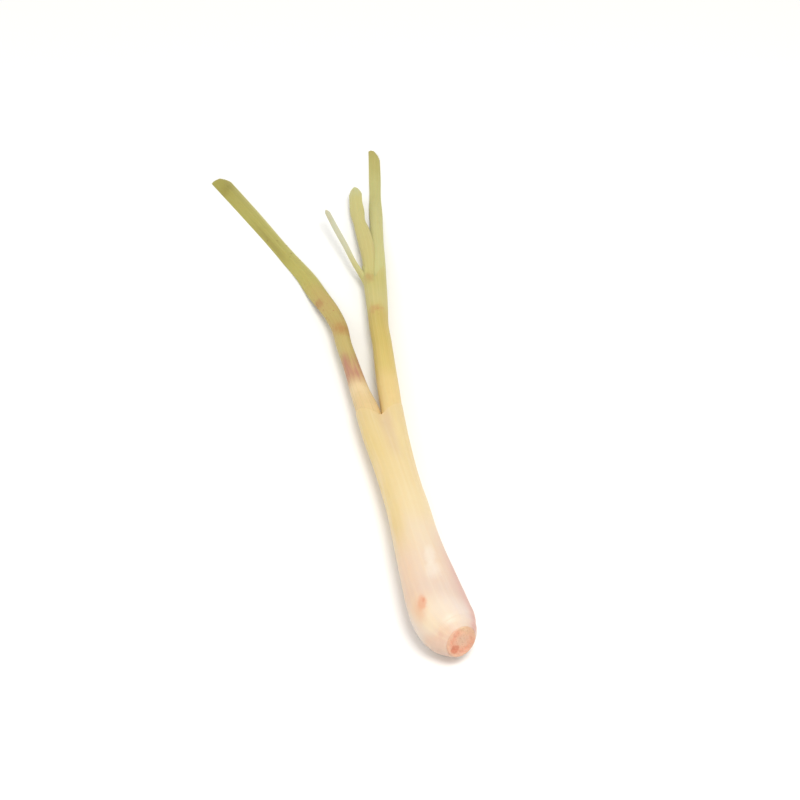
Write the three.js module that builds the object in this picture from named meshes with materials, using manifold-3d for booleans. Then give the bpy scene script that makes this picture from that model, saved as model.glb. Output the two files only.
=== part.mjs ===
// A trimmed lemongrass stalk lying on its side, in millimetres.
//
// The stalk is a roll of leaf sheaths on a short root stem. The outermost sheath makes the pale
// bulb and the neck, and ends in a mouth with a shallow V. Two shoots come out of that mouth side by
// side and fork. The left one is a single leaf, rolled shut up to its collar and flat above it. The
// right one is a sheath with a torn strip of its own blade, and holds two more leaves in its mouth.
// Every sheath and leaf has its keel or its V on top and its free edges underneath.
//
// The origin is on the flat spot under the bulb, +Z is up and +Y runs along the stalk to its tips.

import * as THREE from "three";
import { mergeVertices } from "three/addons/utils/BufferGeometryUtils.js";
import Module from "manifold-3d";

// ---- driving dimensions -------------------------------------------------------------------------

const plugGap = 0.3; // clearance round the root stem in its socket
const ringsPerSpan = 3; // lofted rings between two stations

// Stations along the bulb and neck: x, y, z of the middle line, width, height.
const bulb = {
  sides: 32,
  stations: [
    [6.8, -14.1, 11.2, 15.0, 15.0],
    [6.2, -13.1, 10.95, 17.4, 17.2],
    [5.0, -11.2, 10.8, 20.0, 19.6],
    [3.2, -7.8, 10.85, 22.4, 21.8],
    [0.9, -2.8, 10.9, 23.5, 22.8],
    [-1.9, 6.3, 10.85, 23.3, 22.7],
    [-4.5, 17.1, 10.75, 21.9, 21.4],
    [-7.05, 28.3, 10.5, 20.2, 19.5],
    [-9.4, 39.7, 10.2, 18.9, 17.8],
    [-12.55, 57.3, 9.7, 17.7, 15.7],
    [-15.1, 69.4, 9.4, 17.2, 14.4],
    [-18.2, 84.0, 9.1, 17.7, 13.2],
    [-21.5, 100.0, 8.8, 19.2, 12.1],
    [-25.2, 119.9, 8.6, 21.0, 11.6],
  ],
  lap: 0.5, // step where the sheath's free edge lies over itself
  lapAngle: 228, // degrees round from the right, so the edge runs low along the left side
  lapSwing: -14, // degrees that the edge drifts towards the root end
  squareness: 3, // exponent of the oval at the mouth, where it holds two shoots
  dent: 0.9, // depth of the groove between the two shoots at the mouth
  dentWidth: 0.13, // its half-width, as a share of the sheath's width
  wall: 0.9, // thickness at the mouth
  floor: 11.1, // where the hollow ends, in spans from the root
  notch: 0.35, // depth of the V in the mouth, in spans
  notchHalfWidth: 55, // degrees
};
const lapGap = 0.16; // width of the step at the free edge, as a share of the space between points
const notchCurve = 1.4; // above 1, the sides of the V are hollow

// The short root stem: a plug in the end of the bulb, with its cut face showing.
const rootStem = {
  radius: 6.4,
  proud: 1.6, // how far the cut face stands out of the bulb
  sunk: 4.0,
  bevel: 0.6,
  ringRadius: 4.4, // the groove between the rind and the pith
  ringHalfWidth: 0.5,
  ringDepth: 0.25,
  sides: 32,
  tiltUp: 0.24, // how much the cut face looks upwards
};

// Stations along the right shoot's sheath: x, y, z of the middle line, width, height.
const mainSheath = {
  sides: 24,
  stations: [
    [-15.6, 90.0, 9.0, 6.8, 7.8],
    [-18.1, 104.0, 8.7, 7.8, 8.2],
    [-20.5, 119.9, 8.65, 8.8, 8.5],
    [-20.95, 131.0, 8.2, 9.4, 8.8],
    [-22.0, 143.0, 7.8, 9.4, 8.8],
    [-24.2, 167.0, 7.1, 8.9, 8.5],
    [-25.7, 180.0, 6.7, 9.0, 8.5],
    [-26.4, 191.5, 6.3, 9.7, 8.7],
    [-27.2, 204.5, 5.8, 10.5, 8.5],
    [-28.0, 216.0, 5.3, 11.2, 8.0],
    [-28.6, 226.0, 5.0, 11.6, 7.5],
  ],
  lap: 0.3,
  lapAngle: 250,
  lapSwing: 0,
  squareness: 3,
  dent: 0.4,
  dentWidth: 0.13,
  wall: 0.8,
  floor: 7.9,
  notch: 1.0,
  notchHalfWidth: 60,
};

// Leaves. Stations: x, y, z of the keel, which is the leaf's highest line, then the radius that the
// leaf is rolled to, how far each half wraps down round it (180 is shut), its thickness, and how far
// it is turned about its keel.
const sideLeaf = {
  segments: 10,
  stations: [
    [-22.7, 90.0, 12.2, 3.3, 176, 2.8, 0],
    [-26.2, 104.0, 12.5, 3.75, 176, 3.2, 0],
    [-29.85, 119.9, 12.9, 4.2, 176, 3.6, 0],
    [-33.3, 131.0, 12.1, 4.15, 176, 3.5, 0],
    [-36.0, 143.0, 11.3, 3.85, 176, 3.2, 0],
    [-38.8, 155.0, 10.7, 3.65, 176, 3.0, 0],
    [-41.7, 167.0, 10.2, 3.55, 176, 2.9, 0],
    [-43.9, 179.0, 9.6, 3.75, 174, 2.9, 0],
    [-47.3, 190.0, 8.6, 4.0, 150, 2.2, 3],
    [-52.4, 202.0, 6.7, 4.3, 108, 1.6, 7],
    [-60.6, 220.4, 4.2, 4.8, 70, 1.1, 8],
    [-71.8, 240.8, 2.6, 5.5, 48, 0.9, 6],
    [-90.2, 273.0, 2.0, 6.3, 43, 0.8, 4],
    [-109.9, 306.0, 1.8, 7.2, 39, 0.8, 0],
  ],
  midrib: 0.35,
  slant: -0.35,
  rounding: 0.08,
};

const shutWrap = 175; // a leaf that wraps this far has no midrib showing
const openWrap = 120; // and one that wraps this far has all of it
const midribSharpness = 5;
const endSpans = 1.5; // the stretch that a leaf's cut end is shaped over

const tallLeaf = {
  segments: 8,
  stations: [
    [-25.2, 206.0, 7.1, 1.95, 172, 1.4, 0],
    [-26.3, 226.0, 7.4, 2.4, 170, 1.6, 0],
    [-26.5, 236.6, 7.0, 2.85, 145, 1.5, -3],
    [-26.9, 248.6, 5.4, 3.1, 105, 1.2, -5],
    [-27.4, 264.6, 3.3, 3.25, 70, 0.9, -6],
    [-28.3, 282.8, 2.1, 3.7, 56, 0.8, -6],
    [-28.9, 307.6, 1.6, 3.8, 51, 0.8, -4],
    [-29.8, 331.9, 1.4, 3.7, 48, 0.8, 0],
  ],
  midrib: 0.3,
  slant: -1.1,
  rounding: 0.3,
};

const middleLeaf = {
  segments: 8,
  stations: [
    [-29.0, 206.0, 6.8, 1.5, 172, 1.1, 0],
    [-31.2, 226.0, 7.0, 1.95, 170, 1.3, 2],
    [-32.6, 236.5, 7.2, 2.4, 145, 1.3, 5],
    [-34.3, 248.4, 6.5, 2.8, 105, 1.1, 8],
    [-36.6, 262.6, 5.9, 3.1, 66, 0.9, 12],
    [-38.3, 275.6, 5.6, 4.4, 51, 0.8, 13],
    [-39.0, 289.5, 6.0, 4.8, 46, 0.8, 12],
  ],
  midrib: 0.3,
  slant: 0.1,
  rounding: 0.4,
};

// The torn strip of blade that the right sheath still carries, as a shallow channel of its own.
const tornStrip = {
  segments: 4,
  stations: [
    [-32.0, 206.5, 5.9, 1.9, 40, 0.9, 60],
    [-34.5, 216.0, 6.6, 2.1, 40, 0.9, 52],
    [-38.4, 226.0, 7.7, 1.9, 40, 0.8, 44],
    [-42.8, 238.2, 9.0, 1.9, 38, 0.8, 35],
    [-47.6, 250.2, 10.2, 1.9, 38, 0.8, 30],
    [-52.9, 264.3, 11.4, 1.8, 34, 0.8, 28],
  ],
  midrib: 0,
  slant: 0.3,
  rounding: 0.8,
};

// ---- spines -------------------------------------------------------------------------------------

const worldUp = new THREE.Vector3(0, 0, 1);
const radians = THREE.MathUtils.degToRad;
const smooth = (x, from, to) => THREE.MathUtils.smoothstep(x, from, to);

// A smooth line through stations, with its own frame: side is to the right and up is above it.
function makeSpine(stations) {
  const line = (columns) =>
    new THREE.CatmullRomCurve3(
      stations.map((row) => new THREE.Vector3(...columns.map((c) => row[c] ?? 0))),
      false,
      "centripetal",
    );
  const middle = line([0, 1, 2]);
  const sizes = line([3, 4, 5]);
  const turns = line([6, 6, 6]);
  const spans = stations.length - 1;
  return {
    spans,
    at(span) {
      const t = THREE.MathUtils.clamp(span / spans, 0, 1);
      const along = middle.getTangent(t);
      const side = along.clone().cross(worldUp).normalize();
      const up = side.clone().cross(along).normalize();
      const turn = turns.getPoint(t).x;
      return { point: middle.getPoint(t), along, side, up, size: sizes.getPoint(t), turn };
    },
  };
}

// A point beside the spine. Nothing reaches below the surface that the stalk lies on.
function place(frame, across, upward, ahead = 0) {
  const p = frame.point.clone().addScaledVector(frame.side, across);
  p.addScaledVector(frame.up, upward).addScaledVector(frame.along, ahead);
  return p.setZ(Math.max(p.z, 0));
}

// ---- closed meshes from rings -------------------------------------------------------------------

// Joins rings of equal length end to end. A cap is a list of triangles of ring indices.
function loft(rings, capFirst, capLast) {
  const count = rings[0].length;
  const positions = rings.flat().flatMap((p) => [p.x, p.y, p.z]);
  const faces = [];
  for (let r = 0; r + 1 < rings.length; r++)
    for (let i = 0; i < count; i++) {
      const a = r * count + i;
      const b = r * count + ((i + 1) % count);
      faces.push(a, b + count, b, a, a + count, b + count);
    }
  const last = (rings.length - 1) * count;
  for (const [a, b, c] of capFirst(count)) faces.push(a, b, c);
  for (const [a, b, c] of capLast(count)) faces.push(last + a, last + c, last + b);
  const geometry = new THREE.BufferGeometry();
  geometry.setAttribute("position", new THREE.Float32BufferAttribute(positions, 3));
  geometry.setIndex(faces);
  return geometry;
}

// Triangles across a ring that is an oval, from its first point.
const ovalCap = (count) => Array.from({ length: count - 2 }, (_, i) => [0, i + 1, i + 2]);

// Triangles across a ring that is a band: one edge there, the other edge back.
function bandCap(count) {
  const triangles = [];
  for (let i = 0; i + 1 < count / 2; i++) {
    const j = count - 1 - i;
    triangles.push([i, i + 1, j], [i + 1, j - 1, j]);
  }
  return triangles;
}

// ---- sheaths ------------------------------------------------------------------------------------

// Where the sheath's free edge is at a span, in radians.
function lapAt(part, spine, span) {
  return radians(part.lapAngle + part.lapSwing * (1 - span / spine.spans) ** 2);
}

// A point on the sheath, inset from its surface. The section is an oval that squares off towards the
// mouth and dents between the shoots. Once round, the radius grows by the lap's step.
function sheathPoint(part, spine, span, turn, inset, lap) {
  const frame = spine.at(span);
  const angle = lapAt(part, spine, span) + turn * 2 * Math.PI;
  const open = smooth(span, part.floor - 1, spine.spans);
  const exponent = 2 + (part.squareness - 2) * open;
  const [c, s] = [Math.cos(angle), Math.sin(angle)];
  const reach = (Math.abs(c) ** exponent + Math.abs(s) ** exponent) ** (-1 / exponent);
  const x = (frame.size.x / 2 - inset + lap * (turn - 0.5)) * c * reach;
  const y = (frame.size.y / 2 - inset + lap * (turn - 0.5)) * s * reach;
  const dent = part.dent * open * Math.exp(-((x / (frame.size.x * part.dentWidth)) ** 2));
  return place(frame, x, y - Math.sign(s) * dent);
}

// How far the V of the mouth pulls a point back, in spans.
function notchAt(part, spine, turn) {
  const angle = lapAt(part, spine, spine.spans) + turn * 2 * Math.PI;
  const off = Math.abs(Math.atan2(Math.cos(angle), Math.sin(angle)));
  return part.notch * Math.max(0, 1 - off / radians(part.notchHalfWidth)) ** notchCurve;
}

// A sheath that is solid up to its floor and hollow above it, with a V-shaped mouth.
// Points cluster at the free edge, where the last one and the first one make the step.
function sheath(part) {
  const spine = makeSpine(part.stations);
  const turns = Array.from({ length: part.sides }, (_, i) => (i + lapGap / 2) / (part.sides - 1 + lapGap));
  const outside = spine.spans * ringsPerSpan;
  const rings = [];
  for (let i = 0; i <= outside; i++)
    rings.push(
      turns.map((turn) => {
        const span = i / ringsPerSpan;
        const pull = smooth(span, part.floor, spine.spans) * notchAt(part, spine, turn);
        return sheathPoint(part, spine, span - pull, turn, 0, part.lap);
      }),
    );
  const inside = Math.ceil((spine.spans - part.floor) * ringsPerSpan);
  for (let i = 0; i <= inside; i++)
    rings.push(
      turns.map((turn) => {
        const top = spine.spans - notchAt(part, spine, turn);
        const span = THREE.MathUtils.lerp(top, part.floor, i / inside);
        return sheathPoint(part, spine, span, turn, part.wall, 0);
      }),
    );
  return loft(rings, ovalCap, ovalCap);
}

// ---- leaves -------------------------------------------------------------------------------------

// A leaf rolled about its keel. Each ring is a band: the outside from edge to edge, then the inside.
function leaf(part) {
  const spine = makeSpine(part.stations);
  const steps = spine.spans * ringsPerSpan;
  const rings = [];
  for (let i = 0; i <= steps; i++) {
    const span = i / ringsPerSpan;
    const frame = spine.at(span);
    const [radius, wrap, thick] = [frame.size.x, radians(frame.size.y), frame.size.z];
    const turn = radians(frame.turn);
    const end = smooth(span, spine.spans - endSpans, spine.spans);
    const point = (share, r, keel) => {
      const angle = share * wrap;
      const x = -r * Math.sin(angle);
      const y = r * Math.cos(angle) - radius + keel;
      const across = x * Math.cos(turn) - y * Math.sin(turn);
      const upward = x * Math.sin(turn) + y * Math.cos(turn);
      return place(frame, across, upward, end * (part.slant * x - part.rounding * x * x));
    };
    const shares = Array.from({ length: part.segments + 1 }, (_, k) => (2 * k) / part.segments - 1);
    const midrib = part.midrib * (1 - smooth(frame.size.y, openWrap, shutWrap));
    const outside = shares.map((u) => point(u, radius, midrib * Math.exp(-((u * midribSharpness) ** 2))));
    const inside = shares.map((u) => point(-u, radius - thick, 0));
    rings.push([...outside, ...inside]);
  }
  return loft(rings, bandCap, bandCap);
}

// ---- root stem ----------------------------------------------------------------------------------

// The direction that the cut face looks in: on from the bulb's own end, tipped up a little.
function rootDirection() {
  const out = makeSpine(bulb.stations).at(0).along.negate();
  out.z = rootStem.tiltUp;
  return out.normalize();
}

// A turned solid on the root's axis, from a profile of radius and height. Height 0 is the bulb's end.
function turnOnRoot(profile) {
  const points = profile.map(([radius, height]) => new THREE.Vector2(radius, height));
  const geometry = new THREE.LatheGeometry(points, rootStem.sides);
  const latheAxis = new THREE.Vector3(0, 1, 0);
  geometry.applyQuaternion(new THREE.Quaternion().setFromUnitVectors(latheAxis, rootDirection()));
  const [x, y, z] = bulb.stations[0];
  return geometry.translate(x, y, z);
}

// The plug, with a bevelled rim and a shallow ring in its cut face.
function rootPlug() {
  const { radius, proud, sunk, bevel, ringRadius, ringHalfWidth, ringDepth } = rootStem;
  return turnOnRoot([
    [0, -sunk],
    [radius, -sunk],
    [radius, proud - bevel],
    [radius - bevel, proud],
    [ringRadius + ringHalfWidth, proud],
    [ringRadius, proud - ringDepth],
    [ringRadius - ringHalfWidth, proud],
    [0, proud],
  ]);
}

// What is cut out of the bulb for it, out past the bulb's end.
function rootSocket() {
  const radius = rootStem.radius + plugGap;
  const depth = rootStem.sunk + plugGap;
  return turnOnRoot([
    [0, -depth],
    [radius, -depth],
    [radius, depth],
    [0, depth],
  ]);
}

// ---- joining and cutting ------------------------------------------------------------------------

const wasm = await Module();
wasm.setup();

function toSolid(geometry) {
  geometry.deleteAttribute("normal");
  geometry.deleteAttribute("uv");
  const merged = mergeVertices(geometry, 1e-4);
  return new wasm.Manifold(
    new wasm.Mesh({
      numProp: 3,
      vertProperties: merged.attributes.position.array,
      triVerts: new Uint32Array(merged.index.array),
    }),
  );
}

function toGeometry(solid) {
  const mesh = solid.getMesh();
  const geometry = new THREE.BufferGeometry();
  geometry.setAttribute("position", new THREE.Float32BufferAttribute(mesh.vertProperties, mesh.numProp));
  geometry.setIndex(new THREE.BufferAttribute(mesh.triVerts, 1));
  geometry.computeVertexNormals();
  return geometry;
}

// ---- the stalk ----------------------------------------------------------------------------------

const stalk = new THREE.Group();

function addPiece(name, solid, color, roughness) {
  const material = new THREE.MeshStandardMaterial({ color, roughness, metalness: 0 });
  const mesh = new THREE.Mesh(toGeometry(solid), material);
  mesh.name = name;
  stalk.add(mesh);
}

addPiece("bulb_sheath", toSolid(sheath(bulb)).subtract(toSolid(rootSocket())), 0xf5dfbd, 0.45);
addPiece("root_stem", toSolid(rootPlug()), 0xe2a585, 0.7);
addPiece("main_sheath", toSolid(sheath(mainSheath)).add(toSolid(leaf(tornStrip))), 0xe2cd8f, 0.5);
addPiece("side_leaf", toSolid(leaf(sideLeaf)), 0xc4b878, 0.5);
addPiece("tall_leaf", toSolid(leaf(tallLeaf)), 0xcac484, 0.5);
addPiece("middle_leaf", toSolid(leaf(middleLeaf)), 0xd0c687, 0.5);

export default stalk;
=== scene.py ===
import math
import bpy
import numpy as np
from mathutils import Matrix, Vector, noise


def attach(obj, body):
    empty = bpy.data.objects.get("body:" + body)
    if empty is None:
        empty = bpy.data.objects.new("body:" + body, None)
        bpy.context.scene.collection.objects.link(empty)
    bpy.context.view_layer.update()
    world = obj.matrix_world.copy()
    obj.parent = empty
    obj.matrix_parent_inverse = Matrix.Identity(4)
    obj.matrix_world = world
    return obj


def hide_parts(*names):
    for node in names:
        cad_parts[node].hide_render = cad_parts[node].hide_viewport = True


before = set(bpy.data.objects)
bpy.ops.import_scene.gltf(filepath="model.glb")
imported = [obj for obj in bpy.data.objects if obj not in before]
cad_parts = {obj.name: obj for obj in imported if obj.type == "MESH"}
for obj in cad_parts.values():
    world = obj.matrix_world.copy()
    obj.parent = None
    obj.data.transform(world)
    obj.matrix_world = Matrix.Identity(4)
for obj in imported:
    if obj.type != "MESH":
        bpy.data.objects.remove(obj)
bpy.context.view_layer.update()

mm = 0.001


# a value in a node tree, so that a formula in it reads as plain arithmetic
class Field:
    def __init__(self, tree, socket):
        self.tree = tree
        self.socket = socket

    def op(self, operation, *others):
        node = self.tree.nodes.new("ShaderNodeMath")
        node.operation = operation
        for socket, value in zip(node.inputs, (self,) + others):
            plug(self.tree, value, socket)
        return Field(self.tree, node.outputs[0])

    def __add__(self, other):
        return self.op("ADD", other)

    def __sub__(self, other):
        return self.op("SUBTRACT", other)

    def __mul__(self, other):
        return self.op("MULTIPLY", other)

    def __truediv__(self, other):
        return self.op("DIVIDE", other)

    def __pow__(self, other):
        return self.op("POWER", other)

    __radd__ = __add__
    __rmul__ = __mul__

    # 0 below low, 1 above high and smooth between; low may be above high
    def ramp(self, low, high):
        node = addNode(self.tree, "ShaderNodeMapRange", {"Value": self, "From Min": low, "From Max": high},
                       interpolation_type="SMOOTHSTEP")
        return Field(self.tree, node.outputs["Result"])

    # a round hump of height 1 at a place, that many units wide each way
    def hump(self, place, width):
        away = (self - place) / width
        return (away * away * -1.0).op("EXPONENT")


def plug(tree, value, socket):
    if isinstance(value, Field):
        tree.links.new(value.socket, socket)
    elif isinstance(value, bpy.types.NodeSocket):
        tree.links.new(value, socket)
    else:
        socket.default_value = value


# adds a node, gives its inputs their values and returns it
def addNode(tree, kind, inputs=None, **settings):
    node = tree.nodes.new(kind)
    for name, value in settings.items():
        setattr(node, name, value)
    for name, value in (inputs or {}).items():
        plug(tree, value, node.inputs[name])
    return node


# base + a * s + b * t + ..., of vectors and the numbers that scale them
def sumVectors(tree, base, *scaled):
    for vector, number in scaled:
        base = addNode(tree, "ShaderNodeVectorMath", {0: vector, 1: number, 2: base},
                       operation="MULTIPLY_ADD").outputs[0]
    return base


def splitVector(tree, vector):
    node = addNode(tree, "ShaderNodeSeparateXYZ", {"Vector": vector})
    return [Field(tree, socket) for socket in node.outputs]


def combine(tree, x, y, z=0.0):
    return addNode(tree, "ShaderNodeCombineXYZ", {"X": x, "Y": y, "Z": z}).outputs[0]


def vectorMath(tree, operation, first, second):
    return addNode(tree, "ShaderNodeVectorMath", {0: first, 1: second}, operation=operation)


def noiseField(tree, vector, scale, detail, roughness, distortion=0.0):
    node = addNode(tree, "ShaderNodeTexNoise", {
        "Vector": vector, "Scale": scale, "Detail": detail, "Roughness": roughness, "Distortion": distortion})
    return Field(tree, node.outputs[0])


# a random number for every point between two limits, or a random vector if the limits are vectors
def randomSocket(tree, seed, low, high):
    kind, first, made = ("FLOAT_VECTOR", 0, 0) if isinstance(low, tuple) else ("FLOAT", 2, 1)
    limits = {"Seed": seed, first: low, first + 1: high}
    node = addNode(tree, "FunctionNodeRandomValue", limits, data_type=kind)
    return node.outputs[made]


def namedAttribute(tree, name, kind="FLOAT"):
    node = addNode(tree, "GeometryNodeInputNamedAttribute", {"Name": name}, data_type=kind)
    return node.outputs["Attribute"]


def joinMeshes(tree, *meshes):
    join = addNode(tree, "GeometryNodeJoinGeometry")
    for mesh in meshes:
        tree.links.new(mesh, join.inputs[0])
    return join.outputs[0]


# a new tree that takes a mesh and named inputs, each with its kind and its usual value, if it has one
def startTree(name, inputs):
    tree = bpy.data.node_groups.new(name, "GeometryNodeTree")
    tree.interface.new_socket("Geometry", in_out="INPUT", socket_type="NodeSocketGeometry")
    for label, kind, usual in inputs:
        socket = tree.interface.new_socket(label, in_out="INPUT", socket_type=kind)
        if usual is not None:
            socket.default_value = usual
    tree.interface.new_socket("Geometry", in_out="OUTPUT", socket_type="NodeSocketGeometry")
    return tree, tree.nodes.new("NodeGroupInput").outputs


def endTree(tree, mesh, material):
    mesh = addNode(tree, "GeometryNodeRealizeInstances", {"Geometry": mesh}).outputs[0]
    mesh = addNode(tree, "GeometryNodeSetMaterial", {"Geometry": mesh, "Material": material}).outputs[0]
    tree.links.new(mesh, tree.nodes.new("NodeGroupOutput").inputs[0])


# The tree takes a spine, a line of points with its section on them, and rolls a thin sheet round it.
# The spine's attributes are section: half width, half height and thickness; form: wrap, turn and
# squareness; groove: depth, place and width; margins: lap, seam and thickness; relief: ribs, keel, wave.
sheetInputs = [
    ("Rows", "NodeSocketInt", 200),
    ("Columns", "NodeSocketInt", 64),
    ("Crowding", "NodeSocketFloat", 0.0),  # above 0, rows are closer together at the root end
    ("Rib count", "NodeSocketFloat", 12.0),
    ("Rib height", "NodeSocketFloat", 0.05 * mm),
    ("Keel width", "NodeSocketFloat", 0.16),
    ("Wave rate", "NodeSocketFloat", 30.0),
    ("End share", "NodeSocketFloat", 0.14),
    ("End slant", "NodeSocketFloat", 0.0),
    ("End rounding", "NodeSocketFloat", 0.0),
    ("Ragged", "NodeSocketFloat", 0.8 * mm),
    ("Fibres", "NodeSocketInt", 0),
    ("Notch depth", "NodeSocketFloat", 0.0),
    ("Notch at", "NodeSocketFloat", 0.0),
    ("Notch width", "NodeSocketFloat", 0.35),
    ("Scar place", "NodeSocketFloat", 2.4 * mm),
    ("Scar height", "NodeSocketFloat", 0.0),
    ("Pit place", "NodeSocketVector", (0.0, 0.0, 1.0)),
    ("Pit size", "NodeSocketFloat", 2.0 * mm),
    ("Pit depth", "NodeSocketFloat", 0.0),
    ("Seed", "NodeSocketInt", 1),
    ("Rest", "NodeSocketFloat", 0.0),  # the lowest the outside goes, so that the inside stays off the floor
    ("Material", "NodeSocketMaterial", None),
]

# what all the sheets have in common
sheetForm = {
    "notchCurve": 1.4,  # 1 gives a V with straight sides, more a V whose sides curve in
    "raggedGrain": (14.0, 4.0, 0.7),  # scale, detail and roughness of the torn end
    "waveGrain": (1.0, 3.0, 0.45),
    "scars": (1.0, 2.1),  # where the ring scars are, in scar places from the root end
    "scarSlope": 0.35 * mm,
    "scarWander": 0.5,  # how far the scars stray, in scar places
    "rim": (0.7, 0.92),  # how far out the sheet thins to its margin, where 1 is the margin itself
    "mapRate": 10.0,  # the UV map's units along the sheet, for each metre
    "weld": 0.002 * mm,
    "fibreLength": 0.8 * mm,
    "fibreTip": 0.02 * mm,
    "fibreFoot": 0.07 * mm,
    "fibreSize": (0.4, 1.2),
    "fibreStray": 0.15 * mm,
    "fibreLean": 0.5,
}


def buildSheetTree():
    tree, given = startTree("rolledSheet", sheetInputs)

    def value(name):
        return Field(tree, given[name])

    curve = addNode(tree, "GeometryNodeMeshToCurve", {"Mesh": given["Geometry"]}).outputs["Curve"]
    curve = addNode(tree, "GeometryNodeSetCurveNormal", {"Curve": curve}, mode="Z_UP").outputs["Curve"]
    length = Field(tree, addNode(tree, "GeometryNodeCurveLength", {"Curve": curve}).outputs["Length"])

    # a flat grid of rows along the spine and columns across the sheet
    grid = addNode(tree, "GeometryNodeMeshGrid", {
        "Size X": 1.0, "Size Y": 1.0, "Vertices X": given["Rows"], "Vertices Y": given["Columns"]})
    gridX, gridY = splitVector(tree, tree.nodes.new("GeometryNodeInputPosition").outputs[0])[:2]
    even = gridX + 0.5
    along = even * (value("Crowding") * (even - 1.0) + 1.0)
    across = gridY * 2.0  # -1 and 1 are the sheet's two margins, 0 its keel
    out = across.op("ABSOLUTE")

    # how far each column stops short of the spine's end
    notch = (across - value("Notch at")).op("ABSOLUTE") / value("Notch width") * -1.0 + 1.0
    notch = notch.op("MAXIMUM", 0.0) ** sheetForm["notchCurve"]
    torn = noiseField(tree, combine(tree, across, value("Seed")), *sheetForm["raggedGrain"])
    short = value("Notch depth") * notch + value("End rounding") * out * out
    short = short + value("End slant") * (across * -0.5 + 0.5) + value("Ragged") * torn
    short = short * even.ramp(value("End share") * -1.0 + 1.0, 1.0)
    factor = (along - short / length).op("MAXIMUM", 0.0)

    def sample(name):
        return addNode(tree, "GeometryNodeSampleCurve", {
            "Curves": curve, "Factor": factor, "Value": namedAttribute(tree, name, "FLOAT_VECTOR")},
            mode="FACTOR", data_type="FLOAT_VECTOR")

    section = sample("section")
    wide, high, thick = splitVector(tree, section.outputs["Value"])
    wrap, turn, square = splitVector(tree, sample("form").outputs["Value"])
    dent, valley, valleyWidth = splitVector(tree, sample("groove").outputs["Value"])
    lap, seam, margin = splitVector(tree, sample("margins").outputs["Value"])
    ribs, keel, wave = splitVector(tree, sample("relief").outputs["Value"])

    # the section: an oval that may square off, wound so that one margin lies over the other
    angle = across * wrap + seam
    right = angle.op("SINE")
    up = angle.op("COSINE") * -1.0
    reach = (right.op("ABSOLUTE") ** square + up.op("ABSOLUTE") ** square) ** (square ** -1.0 * -1.0)
    ribWave = (across * value("Rib count") * math.pi).op("COSINE")
    uneven = noiseField(tree, combine(tree, right, factor * length * value("Wave rate"), up),
                        *sheetForm["waveGrain"]) - 0.5
    proud = lap * across * 0.5 + value("Rib height") * ribs * ribWave
    proud = proud + keel * across.hump(0.0, value("Keel width")) + wave * uneven

    # two ring scars near the root end, where outer sheaths were stripped off
    fromRoot = factor * length + uneven * value("Scar place") * sheetForm["scarWander"]
    for times in sheetForm["scars"]:
        start = value("Scar place") * times
        outside = fromRoot.ramp(start, start + sheetForm["scarSlope"])
        proud = proud - value("Scar height") * (outside * -1.0 + 1.0)
    x = (wide + proud) * right * reach
    y = (high + proud) * up * reach
    y = y - dent * up.op("SIGN") * (x / wide).hump(valley, valleyWidth)
    cosTurn = turn.op("COSINE")
    sinTurn = turn.op("SINE")
    sideways = x * cosTurn - y * sinTurn
    upwards = x * sinTurn + y * cosTurn

    tangent = section.outputs["Tangent"]
    side = section.outputs["Normal"]
    over = vectorMath(tree, "CROSS_PRODUCT", side, tangent).outputs[0]
    point = sumVectors(tree, section.outputs["Position"], (side, sideways), (over, upwards))
    fromPit = Field(tree, vectorMath(tree, "DISTANCE", point, given["Pit place"]).outputs["Value"])
    pit = (fromPit / value("Pit size")).hump(0.0, 1.0) * value("Pit depth")
    px, py, pz = splitVector(tree, point)
    point = combine(tree, px, py, (pz - pit).op("MAXIMUM", value("Rest")))

    # what the material and the later steps read: place on the sheet, and its thickness there
    thick = thick + (margin - thick) * out.ramp(*sheetForm["rim"])
    sheetMap = combine(tree, across * 0.5 + 0.5, factor * length * sheetForm["mapRate"])
    sheet = grid.outputs["Mesh"]
    for name, stored, kind, domain in (
            ("thick", thick, "FLOAT", "POINT"), ("row", even, "FLOAT", "POINT"),
            ("heading", tangent, "FLOAT_VECTOR", "POINT"), ("sheetMap", sheetMap, "FLOAT2", "CORNER")):
        sheet = addNode(tree, "GeometryNodeStoreNamedAttribute", {
            "Geometry": sheet, "Name": name, "Value": stored}, data_type=kind, domain=domain).outputs[0]
    sheet = addNode(tree, "GeometryNodeSetPosition", {"Geometry": sheet, "Position": point}).outputs[0]

    # the inner face, by the sheet's thickness inwards, with the rims that join the two
    back = addNode(tree, "GeometryNodeFlipFaces", {"Mesh": sheet}).outputs[0]
    back = addNode(tree, "GeometryNodeExtrudeMesh", {
        "Mesh": back, "Offset Scale": namedAttribute(tree, "thick"), "Individual": False},
        mode="FACES").outputs["Mesh"]
    shell = addNode(tree, "GeometryNodeMergeByDistance", {
        "Geometry": joinMeshes(tree, sheet, back), "Distance": sheetForm["weld"]}).outputs[0]

    # short fibres that stand out of the cut end, on the sheet's last row
    def chance(low, high):
        return randomSocket(tree, given["Seed"], low, high)

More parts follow.
